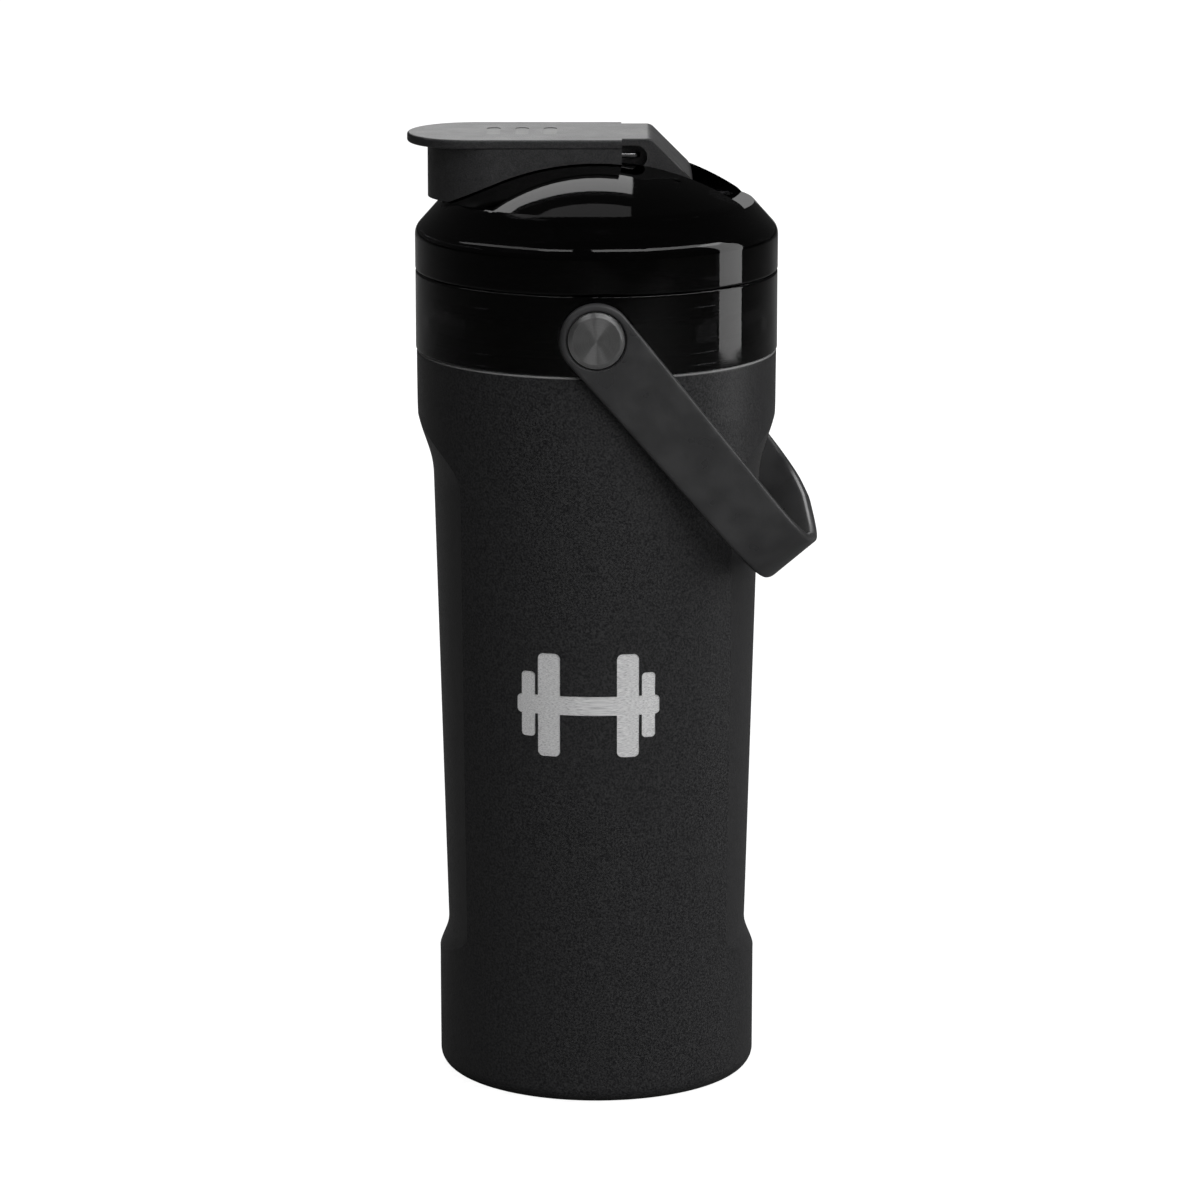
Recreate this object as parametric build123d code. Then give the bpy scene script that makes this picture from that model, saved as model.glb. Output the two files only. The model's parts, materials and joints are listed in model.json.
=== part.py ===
from build123d import *
import os
from math import atan2, cos, radians, sin, sqrt

# Insulated protein shaker bottle. Millimetres, +Z up, origin at the centre of the base.
# -Y is the front, where the emblem is. The flip cap hinges on the +X side of the lid.
# From the table up: double-wall flask, screw-on collar with the carry strap, screw-in dome, flip cap.

# ---- flask ----
BASE_RADIUS = 41.0
BASE_CORNER = 4.0
TAPER_START = (41.07, 31.0)  # radius, height where the straight taper begins
TAPER_END = (46.1, 177.0)
RIM_RADIUS = 46.2
RIM_HEIGHT = 190.8
RIM_ROUNDING = 0.9
SHELL_WALL = 1.0
PANEL_AXIS = 20.0  # each grip panel is turned about a vertical line this far behind the bottle's axis
PANEL_LOW = (38.75, 40.0)  # distance from the axis and height at the foot of the panel's straight part
PANEL_HIGH = (42.0, 158.0)
PANEL_FOOT = (41.4, 30.5)  # where the panel has run out into the round body
PANEL_HEAD = (46.5, 178.5)
BASE_HOLE = 33.0
BASE_FLANGE = 3.5
BASE_DISC_HEIGHT = 1.4
BASE_DISC_THICKNESS = 1.0
PLUG_RADIUS = 2.5
PLUG_HEAD = 4.5
LINER_WALL = 0.7
LINER_BOTTOM = 6.2
LINER_FOOT = (35.3, 6.0)  # radius and rounding at the bottom of the inner cup
LINER_PROFILE = [(36.0, 40.0), (39.3, 160.0), (39.6, 183.0)]  # outer radius, height
NECK_RADIUS = 41.0
NECK_WALL = 1.5
NECK_FOOT = 188.5
NECK_TOP = 196.4
PLUG_HEAD_THICKNESS = 0.6
GETTER = (9.0, 6.0, 1.8)  # outer radius, inner radius, thickness
CLEAR = 1.0  # how far a cutting tool runs past the face it opens
EMBLEM_CENTRE = (-2.0, 106.0)
EMBLEM_DEPTH = 0.45
EMBLEM_SUNK = 0.2
EMBLEM_BAR = (36.0, 5.0, 1.2)  # width, height and corner radius of each bar of the pictogram
EMBLEM_PLATE = (5.6, 27.0, 1.4)
EMBLEM_PLATE_X = 10.0
EMBLEM_END_PLATE = (3.4, 17.0, 1.0)
EMBLEM_END_PLATE_X = 15.2
EMBLEM_REACH = 30.0  # the pictogram is cut from this far in front of the axis outwards

# ---- screw threads, all right-handed: a turn to the left from above lifts by the lead ----
THREAD_LEAD = 3.0
THREAD_ROOT = 1.3
THREAD_CREST = 0.8
THREAD_BURY = 0.3
NECK_RIDGE = 1.05
BORE_RIDGE = 0.95
DOME_RIDGE = 0.85
NECK_THREAD_START = 191.6
DOME_THREAD_START = 206.2
SHORT_THREAD = 1.2  # turns
LONG_THREAD = 1.5
LIFT_GAP = 0.05  # working clearance between parts that unscrew

# ---- collar ----
COLLAR_RADIUS = 46.4
COLLAR_TOP = 211.3
COLLAR_BORE = 42.5
FLANGE_LOW = 197.7
FLANGE_HIGH = 203.7
FLANGE_OPENING = 34.0
AGITATOR_SEAT = (37.3, 201.7)  # radius and floor height of the seat in the flange
GASKET_INNER = 38.0
GASKET_OUTER = 41.3

# ---- handle pivots ----
PIVOT_HEIGHT = 200.7
BOSS_RADIUS = 9.7
BOSS_FACE = 46.9
INSERT_RADIUS = 3.4
INSERT_START = 42.7
STUD_RADIUS = 2.4
STUD_START = 43.0
BUSH_RADIUS = 4.5
BUSH_BORE = 2.5
WASHER_RADIUS = 8.8
WASHER_THICKNESS = 0.25
CAP_HEAD_RADIUS = 7.1
CAP_HEAD_CHAMFER = 1.1
CAP_HEAD_FACE = 50.5
HEAD_SEAT = 48.55

# ---- carry strap, drawn lying along +X and then swung down ----
STRAP_OUTER = 50.0
STRAP_THICKNESS = 2.8
STRAP_REACH = 80.8
STRAP_BAR_RADIUS = 145.0
STRAP_CORNER = 17.5
STRAP_END_RADIUS = 9.3
STRAP_TIP_HALF = 7.8
STRAP_WAIST_HALF = 7.0
STRAP_WAIST_BOW = 4.2  # how much wider than its waist the strap's crossbar would be beyond the arms
STRAP_WAIST_REACH = 55.0
STRAP_EDGE = 1.2
STRAP_HANG = 50.0  # degrees below level at rest
STRAP_HOLE = 4.55
STRAP_COUNTERBORE = 7.5
STRAP_FLOOR = 1.3

# ---- mixing grid ----
GRID_RIM_INNER = 32.6
GRID_RINGS = (12.0, 22.5)
GRID_HALF_THICKNESS = 0.8
GRID_HUB_RADIUS = 3.0
GRID_HUB_DROP = 7.5
GRID_BLADES = 8
GRID_BLADE_DROP = 6.5
GRID_BLADE_FOOT = (31.0, 3.0)  # radius and rounding of each blade's lower corner
GRID_BLADE_REACH = 33.4

# ---- dome ----
DOME_RADIUS = 46.45
SKIRT_RADIUS = 41.2
SKIRT_BORE = 38.6
SKIRT_BOTTOM = 204.8
SHOULDER = (46.45, 221.8)
KNEE = (39.4, 229.7)
CROWN_RADIUS = 68.0
CROWN_TOP = 242.3
DOME_WALL = 2.2
INNER_SHOULDER = (44.2, 221.0)
SHOULDER_ROUNDING = 4.0
KNEE_ROUNDING = 5.0
CHANNEL_START = 5.4
CHANNEL_HALF = 15.0
CHANNEL_FLOOR = 228.65
CHANNEL_WALL = 2.0
SPOUT_X = -25.6
SPOUT_RADIUS = 13.2
SPOUT_BORE = 11.4
SPOUT_TOP = 242.6

# ---- flip cap ----
HINGE_X = 19.6
HINGE_Z = 233.7
PIN_RADIUS = 1.25
PIN_HALF = 17.8
HINGE_BOSS = 3.0
HINGE_BOSS_END = 19.0
RUNNING_GAP = 0.05
BARREL_RADIUS = 4.95
PLATE_TOP = 246.4
PLATE_UNDER = 243.9
PLATE_HALF = 17.6
PLATE_END = 6.4
TAB_TIP = -48.3
PLATE_EDGE = 0.7
COVER_HALF = 17.3
COVER_TIP = -43.1
COVER_WALL = 1.8
COVER_BOTTOM = 230.0
COVER_GAP = 0.35
WEDGE_HALF = 14.75
WEDGE_CREST = 13.9
WEDGE_CREST_ROUNDING = 2.6
WEDGE_EDGE = 0.45
WEDGE_UNDER = 237.6
SLOT_RADIUS = 3.0
SLOT_CENTRE = (9.8, 241.7)
SLOT_DEPTH = 6.5
WIRE_RADIUS = 0.8
WIRE_HALF = 13.7
WIRE_START = 1.0
WIRE_END = 10.4
WIRE_HEIGHT = 242.05
WIRE_BEND = 1.8
WIRE_SOCKET_HALF = 1.6
WIRE_SOCKET_BACK = 3.0
SEAL_FLANGE = 13.2
SEAL_PLUG = (10.9, 10.2)  # radius at the spout's mouth and at the plug's tip
SEAL_DEPTH = 2.0
BAR_LENGTH = 13.0
BAR_WIDTH = 3.4
BAR_PITCH = 7.2
BAR_ROW_X = -19.0
BAR_RECESS = 0.5
BAR_SUNK = 0.15


def outline(corners):
    """Flat face in the XZ plane from (x, z) corners; a third value rounds that corner."""
    face = make_face(Polyline([corner[:2] for corner in corners], close=True))
    for corner in corners:
        if len(corner) == 3:
            spot = min(face.vertices(), key=lambda v: (v.X - corner[0]) ** 2 + (v.Y - corner[1]) ** 2)
            face = fillet(spot, corner[2])
    return Plane.XZ * face


def turned(corners):
    """Solid of revolution about the bottle's axis from (radius, height) corners."""
    return revolve(outline(corners), Axis.Z)


def tube(outer, inner, low, high):
    """Plain ring between two heights."""
    return turned([(inner, low), (outer, low), (outer, high), (inner, high)])


def prism(face, low, high):
    """Upright extrusion of a plan-view face between two heights."""
    return extrude(Pos(0, 0, low) * face, high - low)


def across(radius, near, far, x=0.0, z=0.0):
    """Cylinder along Y from near to far, at the given x and z."""
    middle = (near + far) / 2
    return Pos(x, middle, z) * Rot(90, 0, 0) * Cylinder(radius, abs(far - near))


def both_sides(solid):
    """The solid on the -Y side together with its mirror image on the +Y side."""
    return [solid, mirror(solid, Plane.XZ)]


def thread_ridge(radius, height, start, turns):
    """Helical ridge on a cylinder; a negative height makes it stand inwards."""
    helix = Helix(pitch=THREAD_LEAD, height=THREAD_LEAD * turns, radius=radius)
    section = Plane(origin=helix @ 0, x_dir=(1, 0, 0), z_dir=helix % 0)
    bury = -THREAD_BURY if height > 0 else THREAD_BURY
    corners = [
        (bury, -THREAD_ROOT / 2),
        (height, -THREAD_CREST / 2),
        (height, THREAD_CREST / 2),
        (bury, THREAD_ROOT / 2),
    ]
    tooth = section * make_face(Polyline(corners, close=True))
    return Pos(0, 0, start) * sweep(tooth, path=helix, is_frenet=True)


# ---------------------------------------------------------------- flask


def panel_form(inset):
    """Tall solid whose +X side is the grip panel; everything beyond it is cut from the round body."""
    low = (PANEL_LOW[0] - inset, PANEL_LOW[1])
    high = (PANEL_HIGH[0] - inset, PANEL_HIGH[1])
    foot = (PANEL_FOOT[0] - inset, PANEL_FOOT[1])
    head = (PANEL_HEAD[0] - inset, PANEL_HEAD[1])
    slope = (high[0] - low[0], high[1] - low[1])
    far = 70.0
    below = -10.0
    above = 220.0
    edge = [
        Polyline([(-PANEL_AXIS, below), (far, below), (far, foot[1]), foot]),
        Spline(foot, low, tangents=[(-0.25, 1), slope]),
        Line(low, high),
        Spline(high, head, tangents=[slope, (0.02, 1)]),
        Polyline([head, (far, head[1]), (far, above), (-PANEL_AXIS, above), (-PANEL_AXIS, below)]),
    ]
    face = Plane.XZ * make_face(Curve() + edge)
    return revolve(face, Axis((-PANEL_AXIS, 0, 0), (0, 0, 1)))


def flask_form(inset, bottom, top, top_rounding=0.01):
    """The flask's outer form with every wall moved inwards by inset."""
    body = turned(
        [
            (0, bottom),
            (BASE_RADIUS - inset, bottom, max(BASE_CORNER - inset, 1.0)),
            (TAPER_START[0] - inset, TAPER_START[1]),
            (TAPER_END[0] - inset, TAPER_END[1]),
            (RIM_RADIUS - inset, top, top_rounding),
            (0, top),
        ]
    )
    panel = panel_form(inset)
    return body & panel & mirror(panel, Plane.YZ)


def emblem_prism():
    """Dumbbell pictogram carried straight through the front wall."""
    sign = RectangleRounded(*EMBLEM_BAR)
    for side in (-1, 1):
        sign += Pos(side * EMBLEM_PLATE_X, 0) * RectangleRounded(*EMBLEM_PLATE)
        sign += Pos(side * EMBLEM_END_PLATE_X, 0) * RectangleRounded(*EMBLEM_END_PLATE)
    return extrude(Plane.XZ.offset(EMBLEM_REACH) * Pos(*EMBLEM_CENTRE) * sign, EMBLEM_REACH)


def emblem_slab(sunk):
    """Layer of the front wall under the pictogram, from sunk to the emblem's full depth."""
    layer = emblem_prism() & flask_form(sunk, 0, RIM_HEIGHT)
    return layer - flask_form(EMBLEM_DEPTH, 0, RIM_HEIGHT)


def outer_shell():
    shell = flask_form(0, 0, RIM_HEIGHT, RIM_ROUNDING)
    shell -= flask_form(SHELL_WALL, SHELL_WALL, RIM_HEIGHT - SHELL_WALL)
    shell -= Pos(0, 0, RIM_HEIGHT) * Cylinder(NECK_RADIUS, 10)
    shell -= Cylinder(BASE_HOLE, 10)
    shell += tube(BASE_HOLE + SHELL_WALL, BASE_HOLE, 0, BASE_FLANGE)
    return shell - emblem_slab(-CLEAR)


def inner_liner():
    """Inner wall: a tapered cup that widens into the threaded neck."""
    foot, rounding = LINER_FOOT
    floor = LINER_BOTTOM + LINER_WALL
    mouth = NECK_RADIUS - NECK_WALL
    outer = [(0, LINER_BOTTOM), (foot, LINER_BOTTOM, rounding)] + LINER_PROFILE
    outer += [(NECK_RADIUS, NECK_FOOT), (NECK_RADIUS, NECK_TOP, 0.4), (0, NECK_TOP)]
    inner = [(0, floor), (foot - LINER_WALL, floor, rounding - LINER_WALL)]
    inner += [(radius - LINER_WALL, height) for radius, height in LINER_PROFILE]
    inner += [(mouth, NECK_FOOT - 0.3), (mouth, NECK_TOP + CLEAR), (0, NECK_TOP + CLEAR)]
    thread = thread_ridge(NECK_RADIUS, NECK_RIDGE, NECK_THREAD_START, SHORT_THREAD)
    return turned(outer) - turned(inner) + thread


def base_disc():
    top = BASE_DISC_HEIGHT + BASE_DISC_THICKNESS
    return tube(BASE_HOLE, PLUG_RADIUS, BASE_DISC_HEIGHT, top)


def vacuum_seal_plug():
    top = BASE_DISC_HEIGHT + BASE_DISC_THICKNESS
    head = BASE_DISC_HEIGHT - PLUG_HEAD_THICKNESS
    return turned(
        [
            (0, head),
            (PLUG_HEAD, head, 0.3),
            (PLUG_HEAD, BASE_DISC_HEIGHT),
            (PLUG_RADIUS, BASE_DISC_HEIGHT),
            (PLUG_RADIUS, top),
            (0, top),
        ]
    )


def vacuum_getter():
    outer, inner, thickness = GETTER
    low = BASE_DISC_HEIGHT + BASE_DISC_THICKNESS
    return tube(outer, inner, low, low + thickness)


# ---------------------------------------------------------------- collar and handle


def collar_ring():
    bottom = RIM_HEIGHT + LIFT_GAP
    seat_radius, seat_floor = AGITATOR_SEAT
    ring = turned(
        [
            (COLLAR_BORE, bottom),
            (COLLAR_RADIUS, bottom, 0.5),
            (COLLAR_RADIUS, COLLAR_TOP, 0.7),
            (COLLAR_BORE, COLLAR_TOP),
            (COLLAR_BORE, FLANGE_HIGH),
            (seat_radius, FLANGE_HIGH),
            (seat_radius, seat_floor),
            (FLANGE_OPENING, seat_floor),
            (FLANGE_OPENING, FLANGE_LOW),
            (COLLAR_BORE, FLANGE_LOW),
        ]
    )
    boss = across(BOSS_RADIUS, -BOSS_FACE, -COLLAR_BORE - CLEAR, z=PIVOT_HEIGHT)
    hollow = Pos(0, 0, PIVOT_HEIGHT) * Cylinder(COLLAR_BORE + 0.5, 30)
    for side in both_sides(boss - hollow):
        ring += side
    half_turn = Rot(0, 0, 180)
    ring += half_turn * thread_ridge(COLLAR_BORE, -BORE_RIDGE, NECK_THREAD_START, LONG_THREAD)
    ring += half_turn * thread_ridge(COLLAR_BORE, -BORE_RIDGE, DOME_THREAD_START, SHORT_THREAD)
    for side in both_sides(across(INSERT_RADIUS, -BOSS_FACE - CLEAR, -INSERT_START, z=PIVOT_HEIGHT)):
        ring -= side
    return ring


def collar_gasket():
    return tube(GASKET_OUTER, GASKET_INNER, NECK_TOP + LIFT_GAP, FLANGE_LOW - LIFT_GAP)


def dome_gasket():
    return tube(GASKET_OUTER, GASKET_INNER, FLANGE_HIGH + LIFT_GAP, SKIRT_BOTTOM - LIFT_GAP)


def threaded_inserts():
    insert = across(INSERT_RADIUS, -BOSS_FACE, -INSERT_START, z=PIVOT_HEIGHT)
    insert -= across(STUD_RADIUS, -BOSS_FACE - CLEAR, -INSERT_START + CLEAR, z=PIVOT_HEIGHT)
    return both_sides(insert)


def pivot_washers():
    face = BOSS_FACE + WASHER_THICKNESS
    washer = across(WASHER_RADIUS, -face, -BOSS_FACE, z=PIVOT_HEIGHT)
    washer -= across(STRAP_HOLE, -face - CLEAR, -BOSS_FACE + CLEAR, z=PIVOT_HEIGHT)
    return both_sides(washer)


def pivot_bushes():
    bush = across(BUSH_RADIUS, -HEAD_SEAT, -BOSS_FACE, z=PIVOT_HEIGHT)
    bush -= across(BUSH_BORE, -HEAD_SEAT - CLEAR, -BOSS_FACE + CLEAR, z=PIVOT_HEIGHT)
    return both_sides(bush)


def pivot_caps():
    """Shouldered buttons: a chamfered head outside the strap and a stud down to the insert."""
    shape = outline(
        [
            (0, STUD_START),
            (STUD_RADIUS, STUD_START, 0.4),
            (STUD_RADIUS, HEAD_SEAT),
            (CAP_HEAD_RADIUS, HEAD_SEAT),
            (CAP_HEAD_RADIUS, CAP_HEAD_FACE - CAP_HEAD_CHAMFER * 0.6, 0.2),
            (CAP_HEAD_RADIUS - CAP_HEAD_CHAMFER, CAP_HEAD_FACE, 0.2),
            (0, CAP_HEAD_FACE),
        ]
    )
    cap = Pos(0, 0, PIVOT_HEIGHT) * Rot(90, 0, 0) * revolve(shape, Axis.Z)
    return both_sides(cap)


def strap_plan(half, reach, bar_radius, corner):
    """Plan of the U filled in: straight arms, round corners and a bowed crossbar."""
    bar_centre = reach - bar_radius
    run = sqrt((bar_radius - corner) ** 2 - (half - corner) ** 2)
    corner_x = bar_centre + run
    turn = atan2(half - corner, run)
    join = (bar_centre + bar_radius * cos(turn), bar_radius * sin(turn))
    middle = (radians(90) + turn) / 2
    bend = (corner_x + corner * cos(middle), half - corner + corner * sin(middle))
    start = -2 * STRAP_END_RADIUS
    edge = [
        Line((start, half), (corner_x, half)),
        ThreePointArc((corner_x, half), bend, join),
        ThreePointArc(join, (reach, 0), (join[0], -join[1])),
        ThreePointArc((join[0], -join[1]), (bend[0], -bend[1]), (corner_x, -half)),
        Line((corner_x, -half), (start, -half)),
        Line((start, -half), (start, half)),
    ]
    return make_face(Curve() + edge)


def handle_strap():
    outer = strap_plan(STRAP_OUTER, STRAP_REACH, STRAP_BAR_RADIUS, STRAP_CORNER)
    inner = strap_plan(
        STRAP_OUTER - STRAP_THICKNESS,
        STRAP_REACH - STRAP_THICKNESS,
        STRAP_BAR_RADIUS - STRAP_THICKNESS,
        STRAP_CORNER - STRAP_THICKNESS,
    )
    deep = 2 * STRAP_END_RADIUS
    band = prism(outer, -deep, deep) - prism(inner, -deep - CLEAR, deep + CLEAR)
    tip = STRAP_REACH + CLEAR
    side = Circle(STRAP_END_RADIUS) + make_face(
        Polyline(
            (0, STRAP_END_RADIUS), (tip, STRAP_TIP_HALF), (tip, -STRAP_TIP_HALF), (0, -STRAP_END_RADIUS), close=True
        )
    )
    wide = STRAP_WAIST_REACH
    strap = band & extrude(Plane.XZ * side, wide, both=True)
    end = STRAP_WAIST_HALF + STRAP_WAIST_BOW
    waist = make_face(
        Curve()
        + [
            ThreePointArc((-wide, end), (0, STRAP_WAIST_HALF), (wide, end)),
            Line((wide, end), (wide, -end)),
            ThreePointArc((wide, -end), (0, -STRAP_WAIST_HALF), (-wide, -end)),
            Line((-wide, -end), (-wide, end)),
        ]
    )
    strap &= extrude(Plane.YZ * waist, 2 * STRAP_REACH, both=True)
    strap = fillet(strap.edges(), STRAP_EDGE)
    inside = STRAP_OUTER - STRAP_THICKNESS
    for hole in both_sides(across(STRAP_HOLE, -wide, -inside + CLEAR)):
        strap -= hole
    for hole in both_sides(across(STRAP_COUNTERBORE, -wide, -inside - STRAP_FLOOR)):
        strap -= hole
    return Pos(0, 0, PIVOT_HEIGHT) * Rot(0, STRAP_HANG, 0) * strap


def agitator():
    """Mixing grid: a flat rim, two rings and deep radial blades, dropped into the collar's seat."""
    seat_radius, seat_floor = AGITATOR_SEAT
    low = seat_floor + LIFT_GAP
    high = FLANGE_HIGH - LIFT_GAP
    grid = tube(seat_radius - 2 * LIFT_GAP, GRID_RIM_INNER, low, high)
    for radius in GRID_RINGS:
        grid += tube(radius + GRID_HALF_THICKNESS, radius - GRID_HALF_THICKNESS, low, high)
    hub = low - GRID_HUB_DROP
    grid += turned([(0, hub), (GRID_HUB_RADIUS, hub, 0.8), (GRID_HUB_RADIUS, high), (0, high)])
    foot, rounding = GRID_BLADE_FOOT
    edge = low - GRID_BLADE_DROP
    blade = outline([(0, edge), (foot, edge, rounding), (GRID_BLADE_REACH, high), (0, high)])
    for step in range(GRID_BLADES):
        grid += Rot(0, 0, step * 360 / GRID_BLADES) * extrude(blade, GRID_HALF_THICKNESS, both=True)
    return grid


# ---------------------------------------------------------------- dome


def crown_ball(grow):
    """Ball whose top is the crown."""
    return Pos(0, 0, CROWN_TOP - CROWN_RADIUS) * Sphere(CROWN_RADIUS + grow)


def dome_top(shoulder, grow):
    """Corners of the sloping flank, from the shoulder to well above the crown."""
    rise = 20.0
    run = rise * (SHOULDER[0] - KNEE[0]) / (KNEE[1] - SHOULDER[1])
    return [(shoulder[0] + grow, shoulder[1]), (shoulder[0] + grow - run, shoulder[1] + rise)]


def dome_outside():
    """The dome with its threaded skirt, as one full body."""
    ledge = COLLAR_TOP + LIFT_GAP
    shoulder, peak = dome_top(SHOULDER, 0)
    body = turned(
        [
            (0, SKIRT_BOTTOM),
            (SKIRT_RADIUS, SKIRT_BOTTOM),
            (SKIRT_RADIUS, ledge),
            (DOME_RADIUS, ledge, 0.6),
            (*shoulder, SHOULDER_ROUNDING),
            peak,
            (0, peak[1]),
        ]
    )
    body &= crown_ball(0)
    knee = body.edges().filter_by(GeomType.CIRCLE).filter_by(lambda edge: abs(edge.radius - KNEE[0]) < 0.5)
    return fillet(knee, KNEE_ROUNDING)


def dome_cavity():
    ledge = COLLAR_TOP + 2.0
    shoulder, peak = dome_top(INNER_SHOULDER, 0)
    body = turned(
        [
            (0, SKIRT_BOTTOM - CLEAR),
            (SKIRT_BORE, SKIRT_BOTTOM - CLEAR),
            (SKIRT_BORE, ledge),
            (INNER_SHOULDER[0], ledge + 1.2),
            shoulder,
            peak,
            (0, peak[1]),
        ]
    )
    return body & crown_ball(-DOME_WALL)


def cover_clearance():
    """Everything the cap's cover has to stay off: the upper dome, swollen by the gap."""
    shoulder, peak = dome_top(SHOULDER, COVER_GAP)
    body = turned([(0, SHOULDER[1] - 10), (shoulder[0], SHOULDER[1] - 10), shoulder, peak, (0, peak[1])])
    return body & crown_ball(COVER_GAP)


def channel(grow):
    """Trough for the cap's heel, open towards +X; grow makes the block for the trough's own walls."""
    start = CHANNEL_START - grow
    half = CHANNEL_HALF + grow
    length = 60.0
    plan = Pos(start + length / 2, 0) * RectangleRounded(length, 2 * half, 2.0 + grow)
    return prism(plan, CHANNEL_FLOOR - grow, CROWN_TOP + 10)


def dome_shell():
    spout = Pos(SPOUT_X, 0) * Circle(SPOUT_RADIUS)
    bore = Pos(SPOUT_X, 0) * Circle(SPOUT_BORE)
    cavity = dome_cavity()
    dome = dome_outside() - channel(0)
    dome -= cavity - channel(CHANNEL_WALL)
    dome += prism(spout, SHOULDER[1], SPOUT_TOP) - cavity
    for boss in both_sides(across(HINGE_BOSS, -HINGE_BOSS_END, -CHANNEL_HALF - 0.5, HINGE_X, HINGE_Z)):
        dome += boss
    dome -= prism(bore, SKIRT_BOTTOM, SPOUT_TOP + CLEAR)
    dome -= across(PIN_RADIUS, -HINGE_BOSS_END - CLEAR, HINGE_BOSS_END + CLEAR, HINGE_X, HINGE_Z)
    return dome + thread_ridge(SKIRT_RADIUS, DOME_RIDGE, DOME_THREAD_START, SHORT_THREAD)


def hinge_pin():
    return across(PIN_RADIUS, -PIN_HALF, PIN_HALF, HINGE_X, HINGE_Z)


# ---------------------------------------------------------------- flip cap


def tongue(tip, half, end):
    """Plan of a flat tongue with a round tip on the -X side."""
    centre = tip + half
    return Pos(centre, 0) * Circle(half) + Pos((centre + end) / 2, 0) * Rectangle(end - centre, 2 * half)


def cap_plate():
    plate = prism(tongue(TAB_TIP, PLATE_HALF, PLATE_END), PLATE_UNDER, PLATE_TOP)
    rims = plate.edges().filter_by(lambda edge: edge.center().X < PLATE_END - 1 and edge.bounding_box().size.Z < 0.1)
    return fillet(rims, PLATE_EDGE)


def cap_cover():
    """Skirt that hides the spout; its lower edge follows the dome with a small gap."""
    cover = prism(tongue(COVER_TIP, COVER_HALF, PLATE_END), COVER_BOTTOM, PLATE_UNDER + 0.5)
    room = tongue(COVER_TIP + COVER_WALL, COVER_HALF - COVER_WALL, PLATE_END + CLEAR)
    cover -= prism(room, COVER_BOTTOM - CLEAR, PLATE_UNDER)
    near = WIRE_START - WIRE_SOCKET_BACK
    inside = WIRE_HALF - WIRE_SOCKET_HALF
    outside = COVER_HALF - COVER_WALL / 2
    for side in (-1, 1):
        middle = ((PLATE_END + near) / 2, side * (inside + outside) / 2)
        socket = Pos(*middle) * Rectangle(PLATE_END - near, outside - inside)
        cover += prism(socket, COVER_BOTTOM, PLATE_UNDER + 0.5)
    return cover - cover_clearance()


def cap_heel():
    """Wedge behind the plate with its hinge barrel, running in the dome's channel."""
    touch = BARREL_RADIUS * cos(radians(45))
    side = outline(
        [
            (PLATE_END, WEDGE_UNDER, 0.6),
            (PLATE_END, PLATE_TOP),
            (WEDGE_CREST, PLATE_TOP, WEDGE_CREST_ROUNDING),
            (HINGE_X + touch, HINGE_Z + touch),
            (HINGE_X, HINGE_Z),
            (HINGE_X - BARREL_RADIUS + 1.5, WEDGE_UNDER),
        ]
    )
    heel = extrude(side, WEDGE_HALF, both=True)
    rims = heel.edges().filter_by(
        lambda edge: abs(edge.center().Y) > WEDGE_HALF - 0.1
        and edge.center().X > PLATE_END + 1
        and edge.center().Z > WEDGE_UNDER + 1
    )
    heel = fillet(rims, WEDGE_EDGE)
    heel += across(BARREL_RADIUS, -WEDGE_HALF, WEDGE_HALF, HINGE_X, HINGE_Z)
    x, z = SLOT_CENTRE
    slot = Plane.XZ * (Pos(x, z) * Circle(SLOT_RADIUS) + Pos(x - SLOT_RADIUS, z) * Rectangle(2 * SLOT_RADIUS, 2 * SLOT_RADIUS))
    pocket = extrude(slot, (SLOT_DEPTH + CLEAR) / 2, both=True)
    for end in (-1, 1):
        heel -= Pos(0, end * (WEDGE_HALF + (CLEAR - SLOT_DEPTH) / 2), 0) * pocket
    return heel


def wire_path():
    """Centre line of the detent wire: two legs along X joined by a crossbar along Y."""
    return Pos(0, 0, WIRE_HEIGHT) * FilletPolyline(
        [(WIRE_START, -WIRE_HALF), (WIRE_END, -WIRE_HALF), (WIRE_END, WIRE_HALF), (WIRE_START, WIRE_HALF)],
        radius=WIRE_BEND,
    )


def wire(radius):
    path = wire_path()
    section = Plane(origin=path @ 0, z_dir=path % 0) * Circle(radius)
    return sweep(section, path=path)


def grip_bars(low, high):
    """Three short bars across the cap's top."""
    bars = []
    for step in (-1, 0, 1):
        plan = Pos(BAR_ROW_X + step * BAR_PITCH, 0) * Rot(0, 0, 90) * SlotOverall(BAR_LENGTH, BAR_WIDTH)
        bars.append(prism(plan, low, high))
    return bars


def flip_cap():
    cap = cap_plate() + cap_cover() + cap_heel()
    cap -= across(PIN_RADIUS + RUNNING_GAP, -WEDGE_HALF - CLEAR, WEDGE_HALF + CLEAR, HINGE_X, HINGE_Z)
    cap -= wire(WIRE_RADIUS)
    for bar in grip_bars(PLATE_TOP - BAR_RECESS, PLATE_TOP + CLEAR):
        cap -= bar
    return cap


def cap_inlay():
    return grip_bars(PLATE_TOP - BAR_RECESS, PLATE_TOP - BAR_SUNK)


def spout_seal():
    """Soft plug: a flat flange on the spout's mouth and a tapered nose inside it."""
    seat = SPOUT_TOP + LIFT_GAP
    mouth, nose = SEAL_PLUG
    return Pos(SPOUT_X, 0, 0) * turned(
        [
            (0, seat - SEAL_DEPTH),
            (nose, seat - SEAL_DEPTH, 0.5),
            (mouth, seat),
            (SEAL_FLANGE, seat),
            (SEAL_FLANGE, PLATE_UNDER),
            (0, PLATE_UNDER),
        ]
    )


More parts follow.
